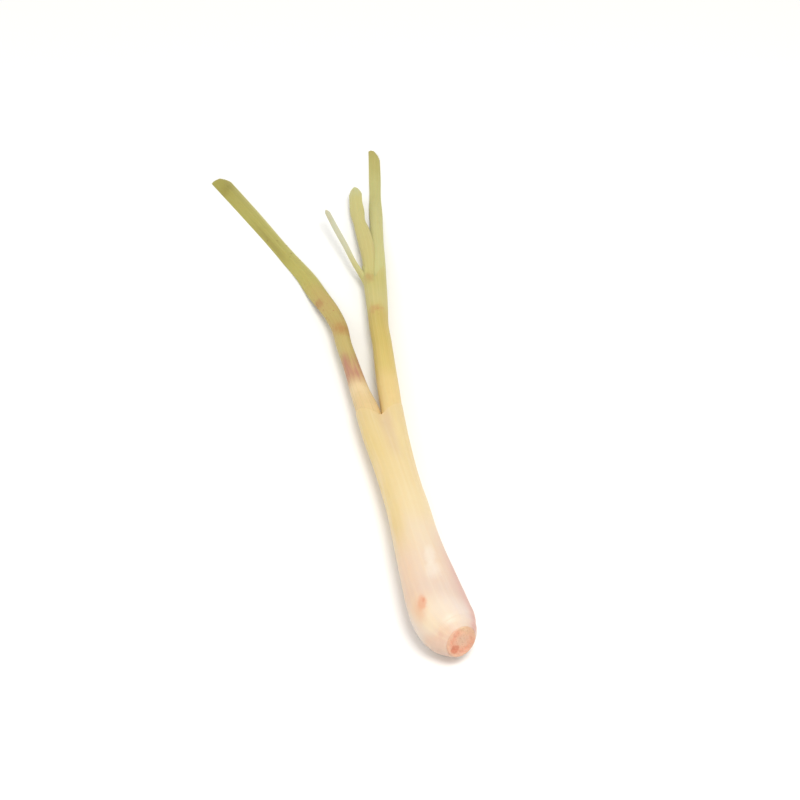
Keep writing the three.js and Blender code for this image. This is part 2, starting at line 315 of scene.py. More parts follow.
    atEnd = Field(tree, namedAttribute(tree, "row")).op("GREATER_THAN", 0.9999)  # it is 1 on the last row
    ends = addNode(tree, "GeometryNodeMeshToPoints", {"Mesh": sheet, "Selection": atEnd}).outputs[0]
    stray, tilt = (sheetForm["fibreStray"],) * 3, (sheetForm["fibreLean"],) * 3
    ends = addNode(tree, "GeometryNodeSetPosition", {
        "Geometry": ends, "Offset": chance(tuple(-v for v in stray), stray)}).outputs[0]
    chosen = value("Fibres").op("GREATER_THAN", Field(tree, chance(0.0, 1.0)) * value("Columns"))
    cone = addNode(tree, "GeometryNodeMeshCone", {
        "Vertices": 5, "Side Segments": 3, "Fill Segments": 1, "Radius Top": sheetForm["fibreTip"],
        "Radius Bottom": sheetForm["fibreFoot"], "Depth": sheetForm["fibreLength"]})
    lean = chance(tuple(-v for v in tilt), tilt)
    aim = sumVectors(tree, namedAttribute(tree, "heading", "FLOAT_VECTOR"), (lean, (1.0, 1.0, 1.0)))
    aimed = addNode(tree, "FunctionNodeAlignRotationToVector", {"Vector": aim}, axis="Z")
    fibres = addNode(tree, "GeometryNodeInstanceOnPoints", {
        "Points": ends, "Selection": chosen, "Instance": cone.outputs["Mesh"],
        "Rotation": aimed.outputs["Rotation"], "Scale": chance(*sheetForm["fibreSize"])}).outputs[0]
    fibres = addNode(tree, "GeometryNodeRealizeInstances", {"Geometry": fibres}).outputs[0]
    whole = joinMeshes(tree, shell, fibres)
    whole = addNode(tree, "GeometryNodeSetShadeSmooth", {"Geometry": whole}).outputs[0]
    endTree(tree, whole, given["Material"])
    return tree


sheetTree = buildSheetTree()
print("sheet tree built")


# rows of x, y, z and sizes, joined by a smooth curve, at even steps of length
def smoothRows(rows, count):
    rows = np.array(rows, float)
    steps = np.linalg.norm(np.diff(rows[:, :3], axis=0), axis=1)
    run = np.concatenate([[0.0], np.cumsum(steps)])
    slope = np.gradient(rows, run, axis=0)
    at = np.linspace(0.0, run[-1], count)
    i = np.clip(np.searchsorted(run, at, side="right") - 1, 0, len(run) - 2)
    gap = (run[i + 1] - run[i])[:, None]
    t = (at - run[i])[:, None] / gap
    start = (1 + 2 * t) * (1 - t) ** 2 * rows[i] + t * (1 - t) ** 2 * gap * slope[i]
    return start + t * t * (3 - 2 * t) * rows[i + 1] + t * t * (t - 1) * gap * slope[i + 1]


def addObject(name, data):
    made = bpy.data.objects.new(name, data)
    bpy.context.scene.collection.objects.link(made)
    return made


# an object that holds the spine: its points, and the section at each as attributes
def spineObject(name, points, **sections):
    mesh = bpy.data.meshes.new(name)
    mesh.from_pydata([tuple(p) for p in points], [(i, i + 1) for i in range(len(points) - 1)], [])
    for key, columns in sections.items():
        values = np.stack([np.broadcast_to(c, len(points)) for c in columns], 1)
        attribute = mesh.attributes.new(key, "FLOAT_VECTOR", "POINT")
        attribute.data.foreach_set("vector", values.astype(np.float32).ravel())
    return addObject(name, mesh)


# 0 before low, 1 after high, smooth between
def ease(x, low, high):
    t = np.clip((x - low) / (high - low), 0.0, 1.0)
    return t * t * (3 - 2 * t)


sharpFrom = 50  # an edge is sharp where its faces meet at more degrees than this


# runs a tree on an object and returns the plain mesh's object in its place
def applyTree(carrier, tree, settings):
    modifier = carrier.modifiers.new("tree", "NODES")
    modifier.node_group = tree
    identifiers = {s.name: s.identifier for s in tree.interface.items_tree if s.in_out == "INPUT"}
    for name, value in settings.items():
        modifier[identifiers[name]] = value
    bpy.context.view_layer.update()
    mesh = bpy.data.meshes.new_from_object(carrier.evaluated_get(bpy.context.evaluated_depsgraph_get()))
    mesh.set_sharp_from_angle(angle=math.radians(sharpFrom))
    name = carrier.name
    bpy.data.objects.remove(carrier)
    print(name, "has", len(mesh.polygons), "faces")
    return addObject(name, mesh)


def rollSheet(spine, settings, material):
    return applyTree(spine, sheetTree, {**settings, "Material": material})


# an sRGB colour, 0 to 255, as the linear colour that a shader takes
def shade(red, green, blue):
    def linear(c):
        c = c / 255
        return c / 12.92 if c <= 0.04045 else ((c + 0.055) / 1.055) ** 2.4
    return (linear(red), linear(green), linear(blue), 1.0)


# mixes an sRGB colour into another colour by a mask
def blendColor(tree, base, color, mask):
    node = addNode(tree, "ShaderNodeMix", {0: mask, 6: base, 7: shade(*color)}, data_type="RGBA")
    return node.outputs[2]


# sRGB colours at places from 0 to 1
def colorRamp(tree, at, bands, interpolation="LINEAR"):
    node = addNode(tree, "ShaderNodeValToRGB", {"Fac": at})
    ramp = node.color_ramp
    ramp.interpolation = interpolation
    while len(ramp.elements) < len(bands):
        ramp.elements.new(0.5)
    for stop, (mark, color) in zip(ramp.elements, bands):
        stop.position = mark
        stop.color = shade(*color)
    return node.outputs["Color"]


# a material and what its nodes start from: its tree, its shader and the place on the object
def startMaterial(name):
    material = bpy.data.materials.new(name)
    material.use_nodes = True
    tree = material.node_tree
    place = addNode(tree, "ShaderNodeTexCoord").outputs["Object"]
    return material, tree, tree.nodes["Principled BSDF"], place


def addGlow(shader, amount, depth, band):
    shader.inputs["Subsurface Weight"].default_value = amount
    shader.inputs["Subsurface Radius"].default_value = band
    shader.inputs["Subsurface Scale"].default_value = depth * mm


def addBump(tree, shader, height, strength, distance):
    bump = addNode(tree, "ShaderNodeBump", {
        "Height": height, "Strength": strength, "Distance": distance * mm})
    tree.links.new(bump.outputs["Normal"], shader.inputs["Normal"])


# noises that follow a sheet: scale across and along it, layer, detail and roughness
skinNoises = {
    "drift": (7.0, 1.5, 0.0, 2.0, 0.5),
    "band": (9.0, 2.5, 2.0, 3.0, 0.5),
    "gloss": (16.0, 6.0, 9.0, 4.0, 0.6),
    # scale across in a look's own streaks
    "streak": (1.0, 1.2, 0.0, 4.0, 0.65),
    "pale": (0.6, 0.8, 5.0, 3.0, 0.6),
    "cells": (5.0, 22.0, 3.0, 4.0, 0.6),
}

# What all the skins have in common. A pattern shows from the first of its two values on, and in
# full at the second.
skinGrain = {
    "streakShows": (0.5, 0.78), "paleShows": (0.52, 0.8), "ribShows": (0.2, 1.0),
    "mottleShows": (0.5, 0.75), "bandShows": (0.2, 0.65), "dotShows": (0.34, 0.12),
    "dotShare": (0.72, 0.8),  # of the dots, by a random number that each has
    "mottleNoise": (240.0, 4.0, 0.6),  # scale, detail and roughness
    "markNoise": (4.0, 0.6, 0.5),  # detail, roughness and distortion
    "ribDull": 0.04,
    "fineWander": 6.0,
    "fineBump": 0.25, "cellBump": 1.6, "streakBump": 1.2, "bumpDepth": 0.12,
    "glowTint": (1.0, 0.55, 0.3),
}


# Skin of a sheath or leaf. Its colours run along the stalk, in mm of Y, and its streaks and ribs
# follow the sheet. Tints are soft bands on the sheet, some of them painted shade and some painted
# light, and marks are spots at a place on the stalk, two of them painted highlights.
def skinMaterial(name, look):
    material, tree, shader, place = startMaterial(name)
    x, y, z = [axis / mm for axis in splitVector(tree, place)]
    u, v = splitVector(tree, addNode(tree, "ShaderNodeUVMap", uv_map="sheetMap").outputs[0])[:2]
    across = u * 2.0 - 1.0
    streaks = look["streaks"]

    def sheetNoise(name, times=1.0):
        acrossScale, alongScale, layer, detail, roughness = skinNoises[name]
        at = combine(tree, u * (acrossScale * times), v * alongScale, layer)
        return noiseField(tree, at, 1.0, detail, roughness)

    # colour along the stalk, pushed to and fro a little so that its bands have no straight edges
    first, last = look["colors"][0][0], look["colors"][-1][0]
    drift = (sheetNoise("drift") - 0.5) * look["drift"]
    bands = [((mark - first) / (last - first), color) for mark, color in look["colors"]]
    color = colorRamp(tree, (y + drift - first) / (last - first), bands, "EASE")

    # long streaks, pale ones, fine ribs and a faint mottle
    streak = sheetNoise("streak", streaks)
    pale = sheetNoise("pale", streaks)
    rib = (across * look["ribs"] * math.pi).op("COSINE")
    mottle = noiseField(tree, place, *skinGrain["mottleNoise"])
    for field, shows, tone, amount in (
            (streak, "streakShows", "streakColor", "streak"), (pale, "paleShows", "paleColor", "pale"),
            (rib, "ribShows", "ribColor", "rib"), (mottle, "mottleShows", "streakColor", "mottle")):
        color = blendColor(tree, color, look[tone], field.ramp(*skinGrain[shows]) * look[amount])

    # bands across the sheet: the skin's own tints, and painted shade and painted light
    for band in look.get("tintsAndPaintedShading", []):
        mask = across.hump(band["across"], band["width"]) * y.ramp(*band["rise"]) * y.ramp(*band["fall"])
        mask = mask * sheetNoise("band").ramp(*skinGrain["bandShows"])
        color = blendColor(tree, color, band["color"], mask * band["strength"])
    # spots at a place on the stalk: blemishes, and painted highlights
    for mark in look.get("spotsAndPaintedHighlights", []):
        away = [(axis - centre) / size for axis, centre, size in zip((x, y, z), mark["at"], mark["size"])]
        near = (away[0] * away[0] + away[1] * away[1] + away[2] * away[2]) ** 0.5
        ragged = (noiseField(tree, place, mark["grain"], *skinGrain["markNoise"]) - 0.5) * mark["ragged"]
        mask = (near + ragged).ramp(1.0, mark["core"])
        color = blendColor(tree, color, mark["color"], mask * mark["strength"])
    for freckle in look.get("freckles", []):
        dots = addNode(tree, "ShaderNodeTexVoronoi", {"Vector": place, "Scale": freckle["scale"]})
        mask = Field(tree, dots.outputs["Distance"]).ramp(*skinGrain["dotShows"])
        chosen = splitVector(tree, dots.outputs["Color"])[0].ramp(*skinGrain["dotShare"])
        zone = y.hump(freckle["at"], freckle["reach"])
        color = blendColor(tree, color, freckle["color"], mask * chosen * zone * freckle["strength"])
    tree.links.new(color, shader.inputs["Base Color"])

    # gloss: the wax is uneven, and duller along the ribs
    dull = (sheetNoise("gloss") - 0.5) * look["roughVaried"] + look["rough"]
    dull = dull + rib.ramp(0.0, 1.0) * skinGrain["ribDull"]
    plug(tree, dull, shader.inputs["Roughness"])
    shader.inputs["Specular IOR Level"].default_value = look["specular"]
    addGlow(shader, look["glow"], look["glowDepth"], skinGrain["glowTint"])

    # fine grooves between fibres, cell grain and slow dimples
    wander = streak - 0.5
    fine = (across * look["fineRibs"] * math.pi + wander * skinGrain["fineWander"]).op("COSINE")
    cells = sheetNoise("cells", streaks) - 0.5
    height = fine * skinGrain["fineBump"] + rib * look["ribBump"]
    height = height + cells * skinGrain["cellBump"] + wander * skinGrain["streakBump"]
    addBump(tree, shader, height, look["bump"], skinGrain["bumpDepth"])
    return material


# the outer sheath: the cream bulb and the straw yellow neck, up to the mouth where the stalk forks
bulb = {
    # x, y, z of the middle line, width, height, in mm
    "stations": [
        (7.45, -15.15, 11.4, 13.7, 13.7),
        (7.3, -14.9, 11.33, 14.4, 14.4),
        (7.0, -14.45, 11.2, 15.4, 15.3),
        (6.6, -13.75, 11.05, 16.6, 16.4),
        (5.95, -12.6, 10.9, 18.2, 17.9),
        (4.95, -11.0, 10.8, 20.1, 19.7),
        (3.1, -7.8, 10.85, 22.7, 21.9),
        (0.75, -2.8, 10.9, 23.8, 22.8),
        (-1.95, 6.3, 10.85, 23.4, 22.7),
        (-4.5, 17.1, 10.75, 21.9, 21.4),
        (-7.05, 28.3, 10.5, 20.2, 19.5),
        (-9.35, 39.7, 10.2, 18.8, 17.8),
        (-12.5, 57.3, 9.7, 17.6, 15.7),
        (-15.1, 69.4, 9.4, 17.2, 14.4),
        (-18.2, 84.0, 9.1, 17.7, 13.2),
        (-21.5, 100.0, 8.8, 19.1, 12.0),
        (-25.1, 119.9, 8.6, 20.7, 11.2),
    ],
    "points": 300,  # along the spine
    "mouth": (84.0, 119.9),  # mm of Y between which the oval squares off
    "squareness": 2.6,
    # the groove between the two shoots: depth, width, and where it is across the sheath along Y
    "valley": {"depth": 1.6, "width": 0.3, "from": (90.0, 0.33), "to": (113.0, -0.06), "fade": 6.0},
    "lap": 0.3,
    "lapAtRoot": 0.3,  # share of the lap that is there at the root end, and all of it from lapFull on
    "lapFull": 40.0,
    # degrees round from underneath to the sheet's middle, at the root end and the mouth
    "seam": (120.0, 128.0),
    "seamRun": (-14.0, 120.0),
    "thick": (1.0, 0.25),  # mm, at the root end and the mouth
    "thinning": (-14.0, 119.0),
    "ribsFrom": (10.0, 70.0),
    "margin": 0.15,
    "wrap": 189.0,
    "wave": 0.3,
    "sheet": {
        "Rows": 330, "Columns": 132, "Crowding": 0.55, "Rib count": 22.0, "Rib height": 0.04 * mm,
        "Wave rate": 30.0, "End share": 0.22, "Notch depth": 7.0 * mm, "Notch at": 0.29,
        "Ragged": 1.4 * mm, "Seed": 3, "Scar height": 0.12 * mm, "Scar place": 2.4 * mm,
        "Pit place": (-7.7 * mm, -1.4 * mm, 19.4 * mm), "Pit size": 2.2 * mm, "Pit depth": 0.22 * mm,
    },
    "look": {
        # mm of Y and the colour there
        "colors": [
            (-16, (222, 186, 164)), (-12, (222, 201, 185)), (-7, (220, 203, 193)), (2, (216, 192, 176)),
            (18, (223, 198, 175)), (36, (226, 203, 174)), (54, (229, 203, 158)), (75, (229, 200, 148)),
            (95, (228, 198, 140)), (122, (223, 192, 132)),
        ],
        "drift": 8.0,
        "streaks": 46.0, "streak": 0.2, "streakColor": (226, 184, 138),
        "pale": 0.28, "paleColor": (240, 224, 194),
        "ribs": 22.0, "rib": 0.05, "ribColor": (242, 226, 196), "mottle": 0.1,
        "tintsAndPaintedShading": [
            # lilac band down the right of the bulb: partly its own lilac tinge, partly painted shade on the
            # side away from the light
            {"color": (200, 151, 140), "across": -0.06, "width": 0.155,
             "rise": (60, 12), "fall": (-21, -15), "strength": 1.0},
            # painted shade: a mauve band down the right edge of the neck, its shaded side
            {"color": (214, 172, 152), "across": -0.12, "width": 0.1,
             "rise": (110, 60), "fall": (20, 45), "strength": 0.5},
            # painted shade: a warm peach band down the left of the bulb, the side away from the light
            {"color": (233, 185, 143), "across": 0.64, "width": 0.17,
             "rise": (56, 12), "fall": (-14, -3), "strength": 0.6},
            # painted shade: a darker straw band down the left of the neck
            {"color": (222, 188, 110), "across": 0.64, "width": 0.2,
             "rise": (20, 45), "fall": (122, 90), "strength": 0.8},
            # painted shade: a grey-mauve band in the valley that runs down from the fork
            {"color": (206, 168, 150), "across": 0.24, "width": 0.09,
             "rise": (78, 98), "fall": (124, 110), "strength": 0.5},
            # painted light: a paler band along the crest of the neck over the right shoot
            {"color": (238, 210, 154), "across": 0.1, "width": 0.12,
             "rise": (80, 100), "fall": (132, 122), "strength": 0.5},
            # painted light: a paler cream patch low on the left of the bulb, near the root end
            {"color": (236, 212, 172), "across": 0.52, "width": 0.2,
             "rise": (6, -6), "fall": (-18, -12), "strength": 0.7},
        ],
        "spotsAndPaintedHighlights": [
            {"at": (-7.4, -2.4, 19.2), "size": (2.6, 4.6, 3.4), "core": 0.4, "color": (222, 158, 126),
             "strength": 0.8, "grain": 420.0, "ragged": 0.6},
            {"at": (-6.9, -1.6, 19.6), "size": (0.9, 1.7, 2.0), "core": 0.2, "color": (212, 130, 98),
             "strength": 0.6, "grain": 700.0, "ragged": 0.5},
            {"at": (-8.3, -4.5, 17.8), "size": (5.0, 9.0, 6.0), "core": 0.0, "color": (222, 164, 126),
             "strength": 0.5, "grain": 260.0, "ragged": 0.7},
            {"at": (-0.4, -15.6, 15.8), "size": (1.6, 2.0, 2.8), "core": 0.1, "color": (218, 164, 140),
             "strength": 0.35, "grain": 700.0, "ragged": 0.8},
            # two painted highlights: pale patches on the top of the bulb where the light catches it
            {"at": (-4.2, 21.5, 20.4), "size": (3.0, 8.2, 3.4), "core": 0.35, "color": (238, 228, 216),
             "strength": 0.34, "grain": 260.0, "ragged": 0.8},
            {"at": (-2.9, 13.0, 21.2), "size": (4.2, 6.6, 3.4), "core": 0.35, "color": (238, 228, 216),
             "strength": 0.34, "grain": 260.0, "ragged": 0.8},
        ],
        "rough": 0.4, "roughVaried": 0.16, "specular": 0.5, "glow": 0.2, "glowDepth": 4.0,
        "fineRibs": 70.0, "ribBump": 0.3, "bump": 0.14,
    },
}


def makeBulb():
    rows = smoothRows(bulb["stations"], bulb["points"])
    y = rows[:, 1]
    opening = ease(y, *bulb["mouth"])
    valley = bulb["valley"]
    place = np.interp(y, *zip(valley["from"], valley["to"]))
    dent = valley["depth"] * ease(y, valley["from"][0] - valley["fade"], valley["to"][0])
    rootSeam, mouthSeam = bulb["seam"]
    seamFrom, seamTo = bulb["seamRun"]
    seam = mouthSeam + (rootSeam - mouthSeam) * (1 - (y - seamFrom) / (seamTo - seamFrom)) ** 2
    lap = bulb["lap"] * (bulb["lapAtRoot"] + (1 - bulb["lapAtRoot"]) * ease(y, 0, bulb["lapFull"]))
    rootThick, mouthThick = bulb["thick"]
    thick = rootThick + (mouthThick - rootThick) * ease(y, *bulb["thinning"])
    spine = spineObject(
        "bulbSheath", rows[:, :3] * mm,
        section=(rows[:, 3] / 2 * mm, rows[:, 4] / 2 * mm, thick * mm),
        form=(math.radians(bulb["wrap"]), 0.0, 2 + (bulb["squareness"] - 2) * opening),
        groove=(dent * mm, place, valley["width"]),
        margins=(lap * mm, np.radians(seam), bulb["margin"] * mm),
        relief=(ease(y, *bulb["ribsFrom"]), 0.0, bulb["wave"] * mm))
    return rollSheet(spine, bulb["sheet"], skinMaterial("bulbSkin", bulb["look"]))


# how a leaf's form follows its wrap, in degrees: a blade, with its keel and ribs, at the first of
# "opens", and a roll that laps over itself at the last of "shuts"
leafRoll = {"opens": (60.0, 150.0), "shuts": (165.0, 184.0), "ribsShut": 0.4, "points": 220}


# The spine of a leaf, from stations on its keel, which runs along its top: x, y, z, roll radius,
# flatness, wrap, thickness and turn. A flatness below 1 presses the roll down.
def leafSpine(name, leaf):
    rows = smoothRows(leaf["stations"], leafRoll["points"])
    keel, (radius, high, wrap, thick) = rows[:, :3] * mm, rows[:, 3:7].T
    turn = np.radians(rows[:, 7])
    high = high * radius * mm
    along = np.gradient(keel, axis=0)
    along /= np.linalg.norm(along, axis=1)[:, None]
    side = np.cross(along, (0.0, 0.0, 1.0))
    side /= np.linalg.norm(side, axis=1)[:, None]
    over = np.cross(side, along)
    middle = keel - high[:, None] * (over * np.cos(turn)[:, None] - side * np.sin(turn)[:, None])
    flat = 1 - ease(wrap, *leafRoll["opens"])
    shut = ease(wrap, *leafRoll["shuts"])
    ribs = leafRoll["ribsShut"] + (1 - leafRoll["ribsShut"]) * flat
    return spineObject(
        name, middle, section=(radius * mm, high, thick * mm),
        form=(np.radians(wrap), turn + math.pi, 2 + (leaf["squareness"] - 2) * shut),
        groove=(0.0, 0.0, 1.0), margins=(leaf["lap"] * mm * shut, 0.0, leaf["margin"] * mm),
        relief=(ribs, leaf["keel"] * mm * flat, leaf["wave"] * mm))


def makeLeaf(name, leaf):
    sheet = {**leaf["sheet"], "Rest": leaf["margin"] * mm}
    return rollSheet(leafSpine(name, leaf), sheet, skinMaterial(name + "Skin", leaf["look"]))


# the left shoot: one leaf, rolled shut to its collar and an arched blade above
sideLeaf = {
    "stations": [
        (-22.4, 90.0, 13.5, 4.6, 1.0, 188.0, 2.2, 0),
        (-26.3, 104.0, 13.6, 5.15, 1.0, 188.0, 2.6, 0),
        (-30.15, 119.9, 13.45, 5.1, 1.0, 188.0, 2.8, 0),
        (-33.2, 131.0, 12.2, 4.4, 1.0, 188.0, 2.6, 0),
        (-36.0, 143.0, 11.3, 3.85, 1.0, 188.0, 2.5, 0),
        (-38.8, 155.0, 10.7, 3.65, 1.0, 187.0, 2.4, 0),
        (-41.7, 167.0, 10.0, 3.6, 0.95, 186.0, 2.2, 0),
        (-43.9, 179.0, 8.9, 3.85, 0.74, 187.0, 1.7, 0),
        (-46.8, 188.0, 7.5, 4.1, 0.54, 184.0, 1.5, 3),
        (-50.3, 196.2, 6.7, 4.3, 0.5, 158.0, 1.4, 6),
        (-54.5, 205.8, 5.4, 4.45, 0.58, 112.0, 1.2, 8),
        (-60.6, 220.4, 3.9, 4.8, 0.9, 69.0, 0.9, 8),
        (-71.8, 240.8, 2.4, 5.5, 1.0, 47.0, 0.7, 6),
        (-90.2, 273.0, 2.0, 6.3, 1.0, 43.0, 0.6, 4),
        (-109.6, 305.6, 1.85, 7.3, 1.0, 39.0, 0.55, 0),
    ],
    "squareness": 2.0, "lap": 0.28, "margin": 0.25, "keel": 0.3, "wave": 0.2,
    "sheet": {
        "Rows": 420, "Columns": 90, "Rib count": 17.0, "Rib height": 0.05 * mm, "End share": 0.1,
        "End slant": 4.5 * mm, "End rounding": 1.5 * mm, "Ragged": 1.4 * mm, "Fibres": 26, "Seed": 11,
    },
    "look": {
        "colors": [
            (90, (223, 192, 134)), (112, (219, 188, 132)), (122, (216, 187, 136)), (132, (222, 196, 150)),
            (144, (200, 172, 116)), (152, (184, 163, 100)), (166, (184, 164, 98)), (176, (180, 152, 86)),
            (192, (179, 163, 90)), (208, (178, 167, 84)), (222, (177, 168, 86)), (240, (172, 165, 84)),
            (270, (168, 161, 80)), (306, (156, 148, 66)),
        ],
        "drift": 8.0,
        "streaks": 40.0, "streak": 0.4, "streakColor": (150, 136, 66),
        "pale": 0.35, "paleColor": (206, 198, 134),
        "ribs": 17.0, "rib": 0.16, "ribColor": (200, 190, 128), "mottle": 0.12,
        "tintsAndPaintedShading": [
            {"color": (172, 104, 95), "across": 0.08, "width": 0.62,
             "rise": (132, 143), "fall": (160, 150), "strength": 1.0},
            {"color": (140, 126, 58), "across": 0.6, "width": 0.4,
             "rise": (230, 242), "fall": (272, 256), "strength": 0.55},
            {"color": (188, 146, 104), "across": 0.0, "width": 0.7,
             "rise": (184, 196), "fall": (220, 204), "strength": 0.4},
            # painted light: a paler band along the blade's right margin, on the lit side
            {"color": (208, 202, 142), "across": -0.95, "width": 0.4,
             "rise": (200, 226), "fall": (330, 300), "strength": 0.6},
        ],
        "spotsAndPaintedHighlights": [
            {"at": (-42.4, 175.0, 9.0), "size": (6.6, 7.0, 6.0), "core": 0.0, "color": (168, 102, 50),
             "strength": 0.46, "grain": 330.0, "ragged": 1.4},
            {"at": (-54.3, 197.5, 4.0), "size": (4.0, 5.4, 6.0), "core": 0.0, "color": (164, 104, 64),
             "strength": 0.6, "grain": 330.0, "ragged": 1.4},
            # dark olive patch by the cut tip: partly the tip's own olive-brown, partly painted shade where
            # the hollow end shows
            {"at": (-104.0, 296.0, 1.0), "size": (6.0, 9.0, 3.0), "core": 0.0, "color": (126, 112, 34),
             "strength": 0.42, "grain": 300.0, "ragged": 1.2},
        ],
        "freckles": [
            {"scale": 620.0, "at": 190.0, "reach": 16.0, "color": (160, 86, 56), "strength": 0.7},
            {"scale": 420.0, "at": 244.0, "reach": 12.0, "color": (122, 86, 44), "strength": 0.7},
        ],
        "rough": 0.46, "roughVaried": 0.16, "specular": 0.4, "glow": 0.12, "glowDepth": 2.0,
        "fineRibs": 52.0, "ribBump": 0.5, "bump": 0.26,
    },
}

# the longest leaf, cut at a slant
tallLeaf = {
    "stations": [
        (-25.4, 200.0, 8.4, 3.3, 0.92, 186.0, 0.9, 0),
        (-25.9, 214.0, 8.1, 3.4, 0.9, 186.0, 0.9, 0),
        (-26.25, 226.0, 7.6, 3.4, 0.87, 185.0, 0.9, 0),
        (-26.5, 236.0, 6.6, 3.3, 0.78, 186.0, 0.8, -3),
        (-27.0, 246.0, 5.2, 3.25, 0.62, 186.0, 0.8, -5),
        (-27.35, 255.1, 4.3, 3.3, 0.53, 166.0, 0.7, -6),
        (-27.6, 266.8, 3.3, 3.2, 0.65, 104.0, 0.6, -6),
        (-28.3, 282.8, 2.0, 3.7, 1.0, 56.0, 0.5, -6),
        (-28.9, 307.6, 1.6, 3.8, 1.0, 51.0, 0.5, -4),
        (-29.8, 332.8, 1.45, 3.7, 1.0, 48.0, 0.5, 0),
    ],
    "squareness": 2.8, "lap": 0.1, "margin": 0.25, "keel": 0.25, "wave": 0.15,
    "sheet": {
        "Rows": 320, "Columns": 70, "Rib count": 12.0, "Keel width": 0.18, "End slant": 8.0 * mm,
        "End rounding": 2.0 * mm, "Ragged": 1.0 * mm, "Fibres": 18, "Seed": 21,
    },
    "look": {
        **sideLeaf["look"], "tintsAndPaintedShading": [], "spotsAndPaintedHighlights": [], "freckles": [],
        "colors": [
            (200, (192, 186, 120)), (228, (192, 188, 124)), (262, (190, 185, 122)), (300, (186, 181, 114)),
            (316, (180, 172, 98)), (334, (170, 159, 84)),
        ],
        "ribs": 12.0, "fineRibs": 36.0, "streaks": 30.0, "streakColor": (172, 160, 86), "streak": 0.35,
        "ribColor": (208, 202, 142), "paleColor": (212, 206, 150),
    },
}

# the shorter leaf beside it, cut round
middleLeaf = {
    "stations": [
        (-29.4, 200.0, 7.8, 2.3, 0.95, 186.0, 0.8, 0),
        (-30.2, 214.0, 7.9, 2.7, 0.92, 186.0, 0.8, 2),
        (-30.9, 226.0, 8.0, 3.1, 0.9, 187.0, 0.8, 4),
        (-31.7, 236.0, 7.7, 3.5, 0.78, 187.0, 0.8, 6),
        (-33.1, 246.0, 6.9, 3.75, 0.6, 184.0, 0.8, 8),
        (-34.8, 255.2, 6.4, 3.6, 0.53, 156.0, 0.7, 10),
        (-36.85, 264.6, 6.1, 3.05, 0.7, 104.0, 0.6, 12),
        (-38.2, 275.6, 5.6, 4.5, 1.0, 52.0, 0.5, 13),
        (-39.0, 290.4, 6.0, 4.7, 1.0, 46.0, 0.5, 12),
    ],
    "squareness": 2.8, "lap": 0.1, "margin": 0.25, "keel": 0.25, "wave": 0.15,
    "sheet": {
        "Rows": 240, "Columns": 70, "Rib count": 13.0, "Keel width": 0.18, "End slant": 0.2 * mm,
        "End rounding": 4.4 * mm, "Ragged": 0.4 * mm, "Fibres": 14, "Seed": 31,
    },
    "look": {
        **tallLeaf["look"],
        "colors": [
            (200, (190, 182, 114)), (240, (192, 180, 114)), (265, (192, 183, 118)), (280, (192, 185, 120)),
            (290, (190, 190, 140)),
        ],
    },
}

# what is left of the main sheath's own blade
tornStrip = {
    "stations": [
        (-31.1, 206.0, 6.0, 2.3, 1.0, 42.0, 0.5, 60),
        (-33.95, 216.0, 6.7, 2.4, 1.0, 42.0, 0.5, 50),
        (-38.3, 226.0, 7.8, 2.0, 1.0, 42.0, 0.4, 44),
        (-42.8, 238.2, 9.1, 2.1, 1.0, 40.0, 0.4, 35),
        (-47.6, 250.2, 10.3, 2.1, 1.0, 40.0, 0.35, 30),
        (-53.1, 264.9, 11.6, 2.0, 1.0, 36.0, 0.35, 28),
    ],
    "squareness": 2.0, "lap": 0.0, "margin": 0.25, "keel": 0.0, "wave": 0.25,
    "sheet": {
        "Rows": 200, "Columns": 24, "Rib count": 4.0, "Wave rate": 60.0, "End slant": 1.0 * mm,
        "End rounding": 2.0 * mm, "Ragged": 2.0 * mm, "Fibres": 8, "Seed": 41,
    },
    "look": {
        **tallLeaf["look"], "ribs": 4.0, "fineRibs": 12.0, "streaks": 10.0,
        "colors": [
            (200, (188, 178, 106)), (213, (188, 179, 108)), (224, (192, 187, 130)), (240, (194, 194, 168)),
            (268, (190, 190, 166)),
        ],
    },
}

